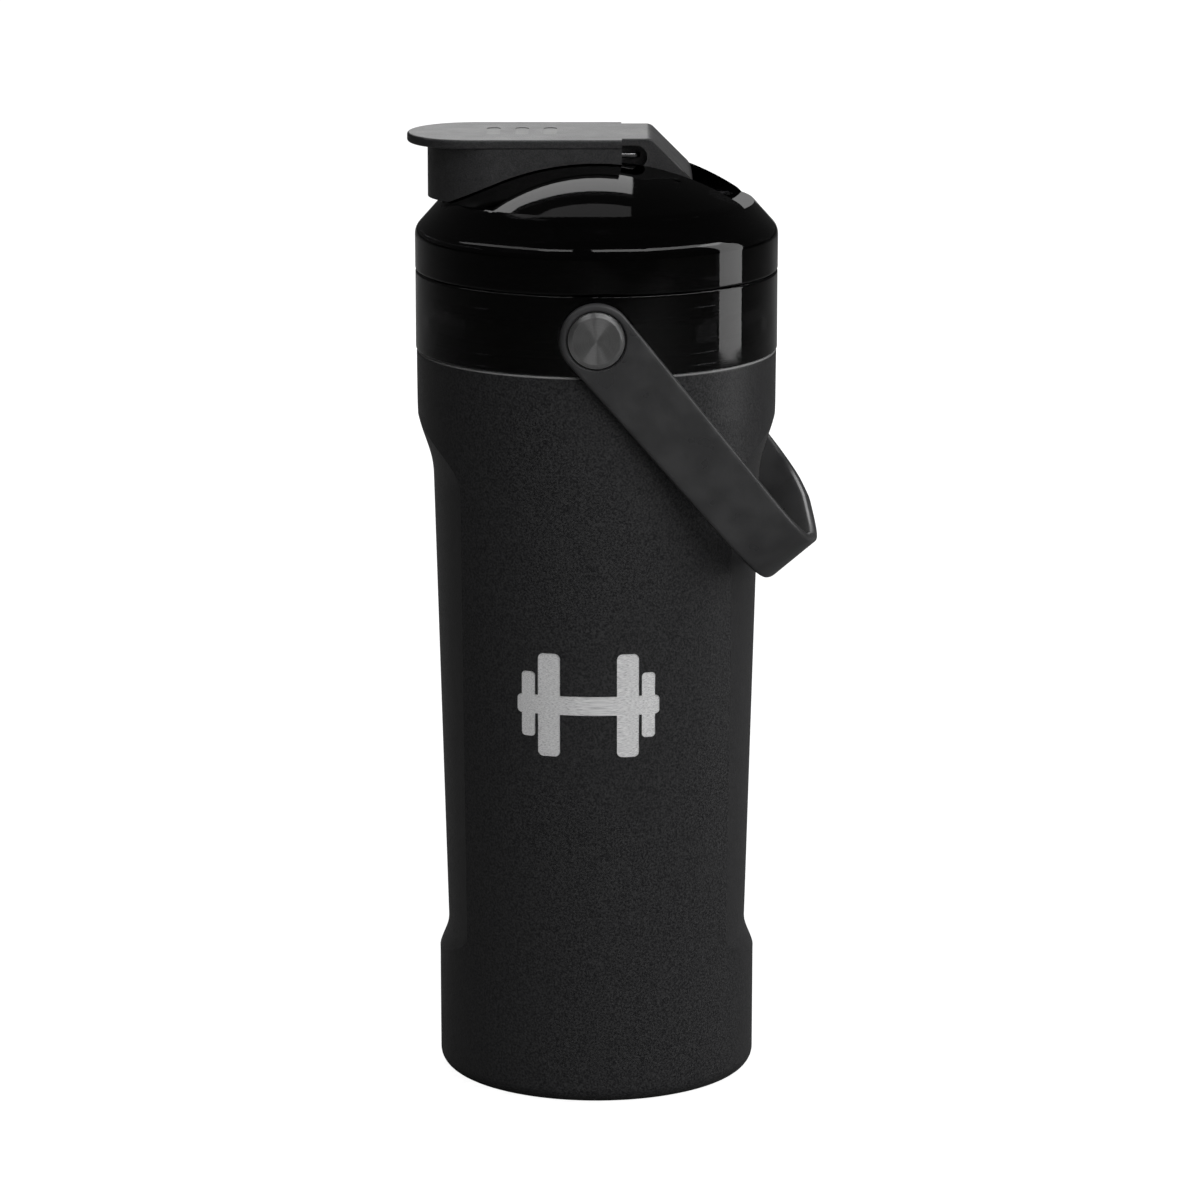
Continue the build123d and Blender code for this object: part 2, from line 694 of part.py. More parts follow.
PARTS = {
    "outer_shell": outer_shell,
    "front_emblem": lambda: emblem_slab(EMBLEM_SUNK),
    "inner_liner": inner_liner,
    "base_disc": base_disc,
    "vacuum_seal_plug": vacuum_seal_plug,
    "vacuum_getter": vacuum_getter,
    "collar_gasket": collar_gasket,
    "collar_ring": collar_ring,
    "threaded_inserts": threaded_inserts,
    "pivot_washers": pivot_washers,
    "pivot_bushes": pivot_bushes,
    "pivot_caps": pivot_caps,
    "handle_strap": handle_strap,
    "agitator": agitator,
    "dome_gasket": dome_gasket,
    "dome_shell": dome_shell,
    "hinge_pin": hinge_pin,
    "flip_cap": flip_cap,
    "cap_inlay": cap_inlay,
    "spout_seal": spout_seal,
    "detent_spring": lambda: wire(WIRE_RADIUS),
}

os.makedirs("parts", exist_ok=True)
for name, make in PARTS.items():
    made = make()
    solids = made if isinstance(made, list) else [made]
    pieces = [solid for item in solids for solid in item.solids()]
    whole = pieces[0] if len(pieces) == 1 else Compound(children=pieces)
    export_step(whole, f"parts/{name}.step")
    print(name, len(pieces), round(sum(piece.volume for piece in pieces), 1))
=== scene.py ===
import json
from math import atan2, cos, pi, radians, sin, sqrt, tan

import bmesh
import bpy
from mathutils import Matrix, Vector


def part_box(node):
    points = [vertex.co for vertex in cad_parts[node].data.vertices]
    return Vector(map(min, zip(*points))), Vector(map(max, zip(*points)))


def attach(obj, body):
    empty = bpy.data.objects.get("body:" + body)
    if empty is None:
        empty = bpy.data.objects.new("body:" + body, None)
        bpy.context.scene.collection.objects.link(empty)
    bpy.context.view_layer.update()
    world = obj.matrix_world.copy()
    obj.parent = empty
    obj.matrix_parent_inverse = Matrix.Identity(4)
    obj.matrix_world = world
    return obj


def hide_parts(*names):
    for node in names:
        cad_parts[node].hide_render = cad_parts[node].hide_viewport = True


# Looks for an insulated shaker bottle. Metres, +Z up; the bottle stands on z = 0 and its front faces -Y.
# CAD nodes keep their shape and get procedural materials; the soft parts are built here as meshes.

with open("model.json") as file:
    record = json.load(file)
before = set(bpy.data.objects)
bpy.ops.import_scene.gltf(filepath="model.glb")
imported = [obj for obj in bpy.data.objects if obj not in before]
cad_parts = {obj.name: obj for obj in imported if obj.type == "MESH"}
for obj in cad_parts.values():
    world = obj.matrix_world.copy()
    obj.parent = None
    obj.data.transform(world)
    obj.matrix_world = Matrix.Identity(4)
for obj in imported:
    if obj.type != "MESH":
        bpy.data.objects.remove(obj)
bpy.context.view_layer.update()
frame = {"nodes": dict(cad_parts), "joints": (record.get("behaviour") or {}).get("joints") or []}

MM = 0.001
NODES = frame["nodes"]
JOINTS = {joint["name"]: joint for joint in frame["joints"]}


# ---------------------------------------------------------------- node helpers

NOISE_LOW = 0.3  # most noise values lie between these two
NOISE_HIGH = 0.7

# A colour mix node repeats its labels for other kinds of data, so its sockets are given by index.
MIX_FACTOR = 0
MIX_FIRST = 6
MIX_SECOND = 7
MIX_RESULT = 2


def grey(level, blue=0.0):
    """Neutral colour, or one with a little more blue."""
    return (level, level, level + blue)


def add_node(owner, kind, inputs=None, **settings):
    """New shader node of a material or world; an input may be a plain value or another node's socket."""
    tree = owner.node_tree
    made = tree.nodes.new(kind)
    for key, value in settings.items():
        setattr(made, key, value)
    for label, value in (inputs or {}).items():
        if isinstance(value, bpy.types.NodeSocket):
            tree.links.new(value, made.inputs[label])
        else:
            made.inputs[label].default_value = value
    return made


def link(material, socket, surface, label):
    material.node_tree.links.new(socket, surface.inputs[label])


def new_material(name, colour, roughness, **inputs):
    """Principled material and its surface node; other inputs are given with _ for each space."""
    material = bpy.data.materials.new(name)
    material.use_nodes = True
    surface = material.node_tree.nodes["Principled BSDF"]
    surface.inputs["Base Color"].default_value = (*colour, 1)
    surface.inputs["Roughness"].default_value = roughness
    for label, value in inputs.items():
        surface.inputs[label.replace("_", " ")].default_value = value
    return material, surface


def place(material):
    """Object-space position, in metres."""
    return add_node(material, "ShaderNodeTexCoord").outputs["Object"]


def grain(material, size, stretch=(1, 1, 1), detail=2.0):
    """Noise with cells of about the given size, drawn out along the axes by stretch."""
    scale = [1 / (size * factor) for factor in stretch]
    mapping = add_node(material, "ShaderNodeMapping", {"Vector": place(material), "Scale": scale})
    inputs = {"Vector": mapping.outputs["Vector"], "Scale": 1.0, "Detail": detail}
    return add_node(material, "ShaderNodeTexNoise", inputs).outputs["Fac"]


def spread(material, value, low, high):
    """Noise value mapped to the range low to high."""
    inputs = {"Value": value, "From Min": NOISE_LOW, "From Max": NOISE_HIGH}
    inputs.update({"To Min": low, "To Max": high})
    return add_node(material, "ShaderNodeMapRange", inputs).outputs["Result"]


def blend_colours(material, value, dark, light):
    """Colour that runs from dark to light with a noise value."""
    ramp = add_node(material, "ShaderNodeValToRGB", {"Fac": value})
    ramp.color_ramp.interpolation = "EASE"
    ramp.color_ramp.elements[0].position = NOISE_LOW
    ramp.color_ramp.elements[0].color = (*dark, 1)
    ramp.color_ramp.elements[1].position = NOISE_HIGH
    ramp.color_ramp.elements[1].color = (*light, 1)
    return ramp.outputs["Color"]


def relief(material, surface, layers):
    """Stacks bumps, each a (noise socket, height in metres) pair, into the surface normal."""
    normal = None
    for value, height in layers:
        inputs = {"Height": value, "Distance": height}
        if normal:
            inputs["Normal"] = normal
        normal = add_node(material, "ShaderNodeBump", inputs).outputs["Normal"]
    link(material, normal, surface, "Normal")


def above(material, height, fade):
    """0 below a height, 1 above it, with a soft edge."""
    split = add_node(material, "ShaderNodeSeparateXYZ", {"Vector": place(material)})
    inputs = {"Value": split.outputs["Z"], "From Min": height - fade, "From Max": height + fade}
    return add_node(material, "ShaderNodeMapRange", inputs).outputs["Result"]


def spoke(material, centre, axis):
    """Object-space vector from the spin axis through centre to the shaded point."""
    keep = [0.0 if part else 1.0 for part in axis]
    inputs = {0: place(material), 1: centre}
    away = add_node(material, "ShaderNodeVectorMath", inputs, operation="SUBTRACT")
    inputs = {0: away.outputs["Vector"], 1: keep}
    return add_node(material, "ShaderNodeVectorMath", inputs, operation="MULTIPLY").outputs["Vector"]


def in_world(material, vector):
    """The same direction in world space, so that it turns with the part."""
    settings = {"vector_type": "VECTOR", "convert_from": "OBJECT", "convert_to": "WORLD"}
    turned = add_node(material, "ShaderNodeVectorTransform", {"Vector": vector}, **settings)
    return turned.outputs["Vector"]


# ---------------------------------------------------------------- materials

PEBBLE_SIZE = 0.5 * MM
PEBBLE_HEIGHT = 0.05 * MM
PEEL_SIZE = 2.2 * MM
PEEL_HEIGHT = 0.03 * MM
PAINTED_HIGHLIGHT_DEPTH = 0.45 * MM  # the painted highlight line begins about this far below the upper edge of the shell
PAINTED_HIGHLIGHT_FADE = 0.15 * MM

SCRATCH_WIDTH = 0.16 * MM
SCRATCH_STRETCH = 60
SCRATCH_HEIGHT = 0.006 * MM

LATHE_MARK = 0.1 * MM
LATHE_MARK_HEIGHT = 0.003 * MM

SWIRL_SIZE = 14 * MM
SWIRL_HEIGHT = 0.02 * MM
SCUFF_SIZE = 0.5 * MM

SPARK_SIZE = 0.35 * MM
SPARK_HEIGHT = 0.03 * MM
SPARK_PATCH = 9 * MM

BLOOM_SIZE = 6 * MM
SKIN_SIZE = 0.6 * MM
SKIN_HEIGHT = 0.012 * MM

CLOUD_SIZE = 0.6 * MM
CLOUD_HEIGHT = 0.006 * MM


def powder_coat():
    """Matt black powder coat: fine pebbles over a slight orange peel, with a painted highlight in a pale
    band along the rim.
    """
    material, surface = new_material("powder_coat", grey(0.03, 0.001), 0.5, Specular_IOR_Level=0.4)
    pebbles = grain(material, PEBBLE_SIZE, detail=3.0)
    peel = grain(material, PEEL_SIZE)
    coat = blend_colours(material, pebbles, grey(0.01, 0.001), grey(0.038, 0.001))
    # painted highlight: a pale grey band mixed into the coat colour just under the rim, standing in for
    # light caught by the rounded edge
    painted_rim_highlight = above(material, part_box("outer_shell")[1].z - PAINTED_HIGHLIGHT_DEPTH, PAINTED_HIGHLIGHT_FADE)
    inputs = {MIX_FACTOR: painted_rim_highlight, MIX_FIRST: coat, MIX_SECOND: (*grey(0.3), 1)}
    coat_with_highlight = add_node(material, "ShaderNodeMix", inputs, data_type="RGBA")
    link(material, coat_with_highlight.outputs[MIX_RESULT], surface, "Base Color")
    link(material, spread(material, pebbles, 0.3, 0.46), surface, "Roughness")
    relief(material, surface, [(peel, PEEL_HEIGHT), (pebbles, PEBBLE_HEIGHT)])
    return material


def brushed_steel(name, along, brightness):
    """Steel brushed along one axis: long fine scratches and a highlight stretched upright."""
    colour = (brightness, brightness, brightness * 1.01)
    material, surface = new_material(name, colour, 0.3, Metallic=0.25, Anisotropic=0.8)
    stretch = [SCRATCH_STRETCH if axis else 1 for axis in along]
    scratches = grain(material, SCRATCH_WIDTH, stretch, detail=3.0)
    dark = [0.75 * value for value in colour]
    light = [min(1.1 * value, 1.0) for value in colour]
    link(material, blend_colours(material, scratches, dark, light), surface, "Base Color")
    link(material, spread(material, scratches, 0.26, 0.44), surface, "Roughness")
    upright = add_node(material, "ShaderNodeCombineXYZ", {"Z": 1.0})
    link(material, upright.outputs["Vector"], surface, "Tangent")
    relief(material, surface, [(scratches, SCRATCH_HEIGHT)])
    return material


def spun_steel(name, centre, axis, roughness, dark, light):
    """Steel finished on a lathe: concentric marks and highlights that fan out from the centre."""
    material, surface = new_material(name, grey(0.66, 0.01), roughness, Metallic=1.0, Anisotropic=0.95)
    outward = spoke(material, centre, axis)
    distance = add_node(material, "ShaderNodeVectorMath", {0: outward}, operation="LENGTH")
    inputs = {0: distance.outputs["Value"], 1: 1 / LATHE_MARK}
    marks = add_node(material, "ShaderNodeMath", inputs, operation="MULTIPLY")
    inputs = {"W": marks.outputs["Value"], "Scale": 1.0, "Detail": 2.0}
    rings = add_node(material, "ShaderNodeTexNoise", inputs, noise_dimensions="1D").outputs["Fac"]
    link(material, blend_colours(material, rings, grey(dark), grey(light)), surface, "Base Color")
    link(material, spread(material, rings, roughness - 0.06, roughness + 0.08), surface, "Roughness")
    link(material, in_world(material, outward), surface, "Tangent")
    relief(material, surface, [(rings, LATHE_MARK_HEIGHT)])
    return material


def smoked_plastic():
    """Glossy smoked co-polyester, all but black, with faint swirls from handling."""
    looks = {"Transmission_Weight": 1.0, "IOR": 1.46}
    material, surface = new_material("smoked_plastic", grey(0.03, 0.001), 0.03, **looks)
    swirls = grain(material, SWIRL_SIZE)
    scuffs = grain(material, SCUFF_SIZE, detail=4.0)
    tint = blend_colours(material, swirls, grey(0.022, 0.001), grey(0.028, 0.001))
    link(material, tint, surface, "Base Color")
    link(material, spread(material, scuffs, 0.02, 0.05), surface, "Roughness")
    relief(material, surface, [(swirls, SWIRL_HEIGHT)])
    return material


def textured_plastic(name, dark, light, roughness, size=SPARK_SIZE, height=SPARK_HEIGHT, specular=0.5):
    """Moulded plastic with a spark-eroded texture."""
    material, surface = new_material(name, dark, roughness, Specular_IOR_Level=specular)
    pits = grain(material, size, detail=3.0)
    patches = grain(material, SPARK_PATCH)
    link(material, blend_colours(material, pits, dark, light), surface, "Base Color")
    link(material, spread(material, patches, roughness - 0.04, roughness + 0.05), surface, "Roughness")
    relief(material, surface, [(pits, height)])
    return material


def soft_rubber(name, dark, light, roughness):
    """Silicone-like rubber: satin skin with a fine bloom."""
    material, surface = new_material(name, dark, roughness)
    bloom = grain(material, BLOOM_SIZE)
    skin = grain(material, SKIN_SIZE, detail=0.0)
    link(material, blend_colours(material, bloom, dark, light), surface, "Base Color")
    link(material, spread(material, bloom, roughness - 0.05, roughness + 0.07), surface, "Roughness")
    relief(material, surface, [(skin, SKIN_HEIGHT)])
    return material


def cast_metal(name, dark, light, roughness):
    """Plain metal with a slightly uneven, satin surface."""
    material, surface = new_material(name, light, roughness, Metallic=1.0)
    cloud = grain(material, CLOUD_SIZE, detail=3.0)
    link(material, blend_colours(material, cloud, dark, light), surface, "Base Color")
    link(material, spread(material, cloud, roughness - 0.05, roughness + 0.1), surface, "Roughness")
    relief(material, surface, [(cloud, CLOUD_HEIGHT)])
    return material


# ---------------------------------------------------------------- mesh helpers

WELD = 0.001 * MM  # points closer than this become one
SHARP_ANGLE = 40.0
LATHE_STEPS = 128


def weld(shape, distance=WELD):
    """Joins coinciding points and turns every face outwards."""
    bmesh.ops.remove_doubles(shape, verts=shape.verts, dist=distance)
    bmesh.ops.recalc_face_normals(shape, faces=shape.faces)


def mesh_object(name, shape):
    """Object made from a bmesh, which is freed."""
    data = bpy.data.meshes.new(name)
    shape.to_mesh(data)
    shape.free()
    made = bpy.data.objects.new(name, data)
    bpy.context.scene.collection.objects.link(made)
    return made


def mesh_piece(name, shape, material, body, stands_for):
    """Finishes a bmesh as a piece that rides on a body in place of its CAD node."""
    weld(shape)
    piece = mesh_object(name, shape)
    for face in piece.data.polygons:
        face.use_smooth = True
    piece.data.set_sharp_from_angle(angle=radians(SHARP_ANGLE))
    piece.data.materials.append(material)
    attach(piece, body)
    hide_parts(stands_for)


def skin_rows(shape, rows, close_rows=False, close_columns=False):
    """Quads between rows of points; each row has the same number of points."""
    grid = [[shape.verts.new(point) for point in row] for row in rows]
    row_pairs = zip(grid, grid[1:] + grid[:1]) if close_rows else zip(grid, grid[1:])
    for one, two in row_pairs:
        count = len(one)
        last = count if close_columns else count - 1
        for index in range(last):
            after = (index + 1) % count
            corners = [one[index], one[after], two[after], two[index]]
            shape.faces.new(corners)


def arc(centre, radius, start, end, steps):
    """Points of a circular arc in a plane, from one angle in degrees to another."""
    points = []
    for step in range(steps + 1):
        angle = radians(start + (end - start) * step / steps)
        points.append((centre[0] + radius * cos(angle), centre[1] + radius * sin(angle)))
    return points


def lathe(shape, profile, centre=(0, 0), closed=True):
    """Turns (radius, height) points about an upright axis; closed joins the last point to the first."""
    rows = []
    for step in range(LATHE_STEPS):
        angle = 2 * pi * step / LATHE_STEPS
        rows.append([(centre[0] + r * cos(angle), centre[1] + r * sin(angle), z) for r, z in profile])
    skin_rows(shape, rows, close_rows=True, close_columns=closed)


# ---------------------------------------------------------------- carry strap

STRAP_PIVOT = Vector(JOINTS["handle_swing"]["pos_m"])
STRAP_HANG = radians(50.0)  # angle of the hanging strap below level
STRAP_THICKNESS = 2.8 * MM
STRAP_MIDDLE = 50.0 * MM - STRAP_THICKNESS / 2  # half the width of the U at mid thickness
STRAP_REACH = 80.8 * MM - STRAP_THICKNESS / 2
STRAP_BAR_RADIUS = 145.0 * MM - STRAP_THICKNESS / 2
STRAP_CORNER = 17.5 * MM - STRAP_THICKNESS / 2
STRAP_END_RADIUS = 9.3 * MM
STRAP_TIP_HALF = 7.8 * MM
STRAP_WAIST_HALF = 7.0 * MM
STRAP_WAIST_BOW = 724.0 * MM  # the waist widens by y squared over this
STRAP_EDGE = 1.2 * MM
STRAP_HOLE = 4.55 * MM
STRAP_COUNTERBORE = 7.5 * MM
STRAP_FLOOR = 1.3 * MM  # rubber left under the counterbore
STRAP_LIP = 0.45 * MM
STRAP_WELD = 0.01 * MM

ARM_STEPS = 30
CORNER_STEPS = 18
BAR_STEPS = 16
FACE_STEPS = 6
EDGE_STEPS = 6
END_STEPS = 24
LIP_STEPS = 5
HOLE_STEPS = 72
HOLE_BELOW = 8 * MM  # the cutters run from this far under the outer face of the strap
HOLE_ABOVE = 2 * MM  # to this far over it


def strap_half_width(x, y):
    taper = (STRAP_END_RADIUS - STRAP_TIP_HALF) / STRAP_REACH
    return min(STRAP_END_RADIUS - taper * x, STRAP_WAIST_HALF + y * y / STRAP_WAIST_BOW)


def strap_spine():
    """(x, y, outward angle) along the U from one pivot to the other, at mid thickness."""
    bar_centre = STRAP_REACH - STRAP_BAR_RADIUS
    rise = STRAP_MIDDLE - STRAP_CORNER
    run = sqrt((STRAP_BAR_RADIUS - STRAP_CORNER) ** 2 - rise**2)
    corner_x = bar_centre + run
    turn = atan2(rise, run)
    half = [(corner_x * step / ARM_STEPS, STRAP_MIDDLE, pi / 2) for step in range(ARM_STEPS)]
    for step in range(CORNER_STEPS):
        angle = pi / 2 + (turn - pi / 2) * step / CORNER_STEPS
        half.append((corner_x + STRAP_CORNER * cos(angle), rise + STRAP_CORNER * sin(angle), angle))
    for step in range(BAR_STEPS):
        angle = turn - turn * step / BAR_STEPS
        x = bar_centre + STRAP_BAR_RADIUS * cos(angle)
        half.append((x, STRAP_BAR_RADIUS * sin(angle), angle))
    other = [(x, -y, -angle) for x, y, angle in reversed(half)]
    return half + [(STRAP_REACH, 0.0, 0.0)] + other


def strap_half_section(half_width):
    """(across, outwards) points of half the band, from the middle of its outer face round to the inner."""
    thick = STRAP_THICKNESS / 2
    flat = half_width - STRAP_EDGE
    face = [(flat * step / FACE_STEPS, thick) for step in range(FACE_STEPS)]
    outer = arc((flat, thick - STRAP_EDGE), STRAP_EDGE, 90, 0, EDGE_STEPS)
    inner = arc((flat, STRAP_EDGE - thick), STRAP_EDGE, 0, -90, EDGE_STEPS)
    back = [(flat * step / FACE_STEPS, -thick) for step in reversed(range(FACE_STEPS))]
    return face + outer + inner + back


def strap_form():
    """The solid band with round ends, lying along +X about the pivot."""
    shape = bmesh.new()
    rows = []
    for x, y, angle in strap_spine():
        half = strap_half_section(strap_half_width(x, y))
        loop = half + [(-across, out) for across, out in reversed(half[1:-1])]
        rows.append([(x + out * cos(angle), y + out * sin(angle), across) for across, out in loop])
    skin_rows(shape, rows, close_columns=True)
    half = strap_half_section(STRAP_END_RADIUS)
    for side in (-1, 1):
        fan = []
        for step in range(END_STEPS + 1):
            angle = pi / 2 + pi * step / END_STEPS
            row = []
            for across, out in half:
                row.append((across * cos(angle), side * (STRAP_MIDDLE + out), across * sin(angle)))
            fan.append(row)
        skin_rows(shape, fan)
    weld(shape, STRAP_WELD)
    return shape


def strap_cutter():
    """Stepped cutters for both pivot holes, with a small radius at the mouth of each counterbore."""
    shape = bmesh.new()
    outer = STRAP_MIDDLE + STRAP_THICKNESS / 2
    seat = outer - STRAP_THICKNESS + STRAP_FLOOR
    start = outer - HOLE_BELOW
    end = outer + HOLE_ABOVE
    profile = [(0, start), (STRAP_HOLE, start), (STRAP_HOLE, seat), (STRAP_COUNTERBORE, seat)]
    profile += arc((STRAP_COUNTERBORE + STRAP_LIP, outer - STRAP_LIP), STRAP_LIP, 180, 90, LIP_STEPS)
    profile += [(STRAP_COUNTERBORE + STRAP_LIP, end), (0, end)]
    for side in (-1, 1):
        rows = []
        for step in range(HOLE_STEPS):
            angle = 2 * pi * step / HOLE_STEPS
            rows.append([(r * cos(angle), side * y, r * sin(angle)) for r, y in profile])
        skin_rows(shape, rows, close_rows=True)
    weld(shape)
    return shape


def cut_away(body_shape, cutter_shape):
    """The first form with the second cut out of it, as a new bmesh."""
    body = mesh_object("body_form", body_shape)
    cutter = mesh_object("cutter_form", cutter_shape)
    cut = body.modifiers.new("cut", "BOOLEAN")
    cut.operation = "DIFFERENCE"
    cut.solver = "EXACT"
    cut.object = cutter
    evaluated = body.evaluated_get(bpy.context.evaluated_depsgraph_get())
    result = bmesh.new()
    result.from_mesh(evaluated.to_mesh())
    bpy.data.objects.remove(body)
    bpy.data.objects.remove(cutter)
    return result


def carry_strap(material):
    shape = cut_away(strap_form(), strap_cutter())
    swing = Matrix.Rotation(STRAP_HANG, 4, "Y")
    bmesh.ops.transform(shape, matrix=Matrix.Translation(STRAP_PIVOT) @ swing, verts=shape.verts)
    mesh_piece("carry_strap", shape, material, "handle", "handle_strap")


# ---------------------------------------------------------------- seals

GASKET_WIDTH = 3.3 * MM
GASKET_EDGE = 0.25 * MM
GASKET_RIB = 0.14 * MM
GASKET_RIB_PLACES = (0.33, 0.67)  # as a share of the way from the inner edge to the outer one

PLUG_NOSE = 10.2 * MM
PLUG_MOUTH = 10.9 * MM
PLUG_NOSE_LENGTH = 2.0 * MM
PLUG_HOLLOW_DEPTH = 1.1 * MM
PLUG_HOLLOW_INSET = 3.2 * MM  # the floor of the hollow ends this far inside the nose
PLUG_LIP_INSET = 2.4 * MM  # the inner rounding of the lip is centred this far inside the nose
PLUG_LIP = 0.5 * MM
PLUG_EDGE = 0.35 * MM
PLUG_LEDGE = 0.9 * MM

SEAL_EDGE_STEPS = 4
SEAL_RIB_STEPS = 8


def ribbed_ring(name, node, body, material):
    """Flat gasket with rounded edges and two raised sealing ribs."""
    low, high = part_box(node)
    outer = high.x
    inner = outer - GASKET_WIDTH
    edge = GASKET_EDGE
    face = high.z - GASKET_RIB
    profile = arc((inner + edge, low.z + edge), edge, 270, 180, SEAL_EDGE_STEPS)
    profile += arc((inner + edge, face - edge), edge, 180, 90, SEAL_EDGE_STEPS)
    for share in GASKET_RIB_PLACES:
        middle = inner + share * (outer - inner)
        profile += arc((middle, face), GASKET_RIB, 180, 0, SEAL_RIB_STEPS)
    profile += arc((outer - edge, face - edge), edge, 90, 0, SEAL_EDGE_STEPS)
    profile += arc((outer - edge, low.z + edge), edge, 0, -90, SEAL_EDGE_STEPS)
    shape = bmesh.new()
    lathe(shape, profile)
    mesh_piece(name, shape, material, body, node)


def spout_plug(material):
    """Soft plug under the cap: a flange with a rolled edge and a hollow tapered nose."""
    low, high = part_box("spout_seal")
    centre = ((low.x + high.x) / 2, 0.0)
    flange = (high.x - low.x) / 2
    seat = low.z + PLUG_NOSE_LENGTH
    hollow = low.z + PLUG_HOLLOW_DEPTH
    lip_height = low.z + PLUG_LIP
    edge = PLUG_EDGE
    profile = [(0, hollow), (PLUG_NOSE - PLUG_HOLLOW_INSET, hollow)]
    profile += arc((PLUG_NOSE - PLUG_LIP_INSET, lip_height), PLUG_LIP, 180, 270, LIP_STEPS)
    profile += arc((PLUG_NOSE - PLUG_LIP, lip_height), PLUG_LIP, 270, 360, LIP_STEPS)
    profile += [(PLUG_MOUTH, seat), (PLUG_MOUTH + PLUG_LEDGE, seat)]
    profile += arc((flange - edge, seat + edge), edge, 270, 360, SEAL_EDGE_STEPS)
    profile += arc((flange - edge, high.z - edge), edge, 0, 90, SEAL_EDGE_STEPS)
    profile += [(0, high.z)]
    shape = bmesh.new()
    lathe(shape, profile, centre, closed=False)
    mesh_piece("spout_plug", shape, material, "cap", "spout_seal")


# ---------------------------------------------------------------- studio

LIT_POINT = Vector((0.0, 0.0, 0.2))
CEILING = 1.2  # height of the ceiling lights over the lit point

FLOOR_HALF = 12.0
FLOOR_GRAIN = 3 * MM
FLOOR_DROP = 0.2 * MM  # keeps the floor from coinciding with the foot
FLOOR_GLOW = 1.42
FLOOR_GLOW_SHARE = 0.8  # the rest of the floor's tone is lit, and takes shadows
FLOOR_REFLECTED = 0.12

WORLD_SEEN = 0.92
WORLD_REFLECTED = 0.035

CAMERA_AIM = Vector((0.0009, 0.0, 0.1239))
CAMERA_DISTANCE = 1.454
CAMERA_ELEVATION = radians(12.5)
CAMERA_LENS = 168.0
CAMERA_SENSOR = 36.0
CAMERA_CLIP = 50.0


def softbox(name, position, target, width, height, radiance, soft=False):
    """Rectangular light that faces a point; radiance is its brightness as seen in a mirror.

    Every light reaches every object. A soft one fills shadows and isn't mirrored in glossy surfaces.
    """
    data = bpy.data.lights.new(name, "AREA")
    data.shape = "RECTANGLE"
    data.size = width
    data.size_y = height
    data.energy = radiance * pi * width * height
    lamp = bpy.data.objects.new(name, data)
    lamp.location = position
    direction = Vector(target) - Vector(position)
    lamp.rotation_euler = direction.to_track_quat("-Z", "Y").to_euler()
    lamp.visible_camera = False
    lamp.visible_glossy = not soft
    lamp.visible_transmission = not soft
    bpy.context.scene.collection.objects.link(lamp)
    return lamp


def softbox_at(name, azimuth, elevation, distance, wide, tall, radiance, soft=False):
    """Softbox at an azimuth from the front (-Y) towards +X; wide and tall are in degrees."""
    flat = distance * cos(radians(elevation))
    rise = distance * sin(radians(elevation))
    offset = Vector((flat * sin(radians(azimuth)), -flat * cos(radians(azimuth)), rise))
    width = 2 * flat * tan(radians(wide / 2))
    height = 2 * distance * tan(radians(tall / 2))
    softbox(name, LIT_POINT + offset, LIT_POINT, width, height, radiance, soft)


def ceiling_panel(name, x_range, y_range, radiance):
    """Level panel overhead, facing down, between x and y values given as multiples of its height."""
    x_low, x_high = (CEILING * value for value in x_range)
    y_low, y_high = (CEILING * value for value in y_range)
    centre = LIT_POINT + Vector(((x_low + x_high) / 2, (y_low + y_high) / 2, CEILING))
    softbox(name, centre, centre - Vector((0, 0, 1)), x_high - x_low, y_high - y_low, radiance)


def ceiling_bar(name, start, end, width, radiance):
    """Level bar overhead between two points, given like its width as multiples of its height."""
    start = Vector(start) * CEILING
    end = Vector(end) * CEILING
    centre = LIT_POINT + Vector((*(start + end) / 2, CEILING))
    length = (end - start).length
    lamp = softbox(name, centre, centre - Vector((0, 0, 1)), length, CEILING * width, radiance)
    lamp.rotation_euler.z = atan2(end.y - start.y, end.x - start.x)


def by_ray(owner, seen, reflected):
    """The first shader for rays from the camera, the second for all others."""
    rays = add_node(owner, "ShaderNodeLightPath")
    inputs = {"Fac": rays.outputs["Is Camera Ray"], 1: reflected, 2: seen}
    return add_node(owner, "ShaderNodeMixShader", inputs).outputs["Shader"]


def floor():
    """Pale seamless floor: bright to the camera, dim in reflections so that the bottle stays dark."""
    material = bpy.data.materials.new("studio_floor")
    material.use_nodes = True
    material.node_tree.nodes.clear()
    paper = grain(material, FLOOR_GRAIN)
    tone = blend_colours(material, paper, grey(0.83), grey(0.87))
    matt = add_node(material, "ShaderNodeBsdfDiffuse", {"Color": tone}).outputs["BSDF"]
    glow = add_node(material, "ShaderNodeEmission", {"Color": tone, "Strength": FLOOR_GLOW})
    inputs = {"Fac": FLOOR_GLOW_SHARE, 1: matt, 2: glow.outputs["Emission"]}
    seen = add_node(material, "ShaderNodeMixShader", inputs)
    dim = add_node(material, "ShaderNodeBsdfDiffuse", {"Color": (*grey(FLOOR_REFLECTED), 1)})
    result = by_ray(material, seen.outputs["Shader"], dim.outputs["BSDF"])
    add_node(material, "ShaderNodeOutputMaterial", {"Surface": result})
    shape = bmesh.new()
    bmesh.ops.create_grid(shape, x_segments=8, y_segments=8, size=FLOOR_HALF)
    ground = mesh_object("studio_floor", shape)
    ground.data.materials.append(material)
    ground.location.z = -FLOOR_DROP


def surroundings():
    """White to the camera, dark grey to everything else."""
    world = bpy.data.worlds.new("studio")
    bpy.context.scene.world = world
    world.use_nodes = True
    world.node_tree.nodes.clear()
    bright = add_node(world, "ShaderNodeBackground", {"Color": (*grey(WORLD_SEEN), 1)})
    dark = add_node(world, "ShaderNodeBackground", {"Color": (*grey(WORLD_REFLECTED), 1)})
    result = by_ray(world, bright.outputs["Background"], dark.outputs["Background"])
    add_node(world, "ShaderNodeOutputWorld", {"Surface": result})


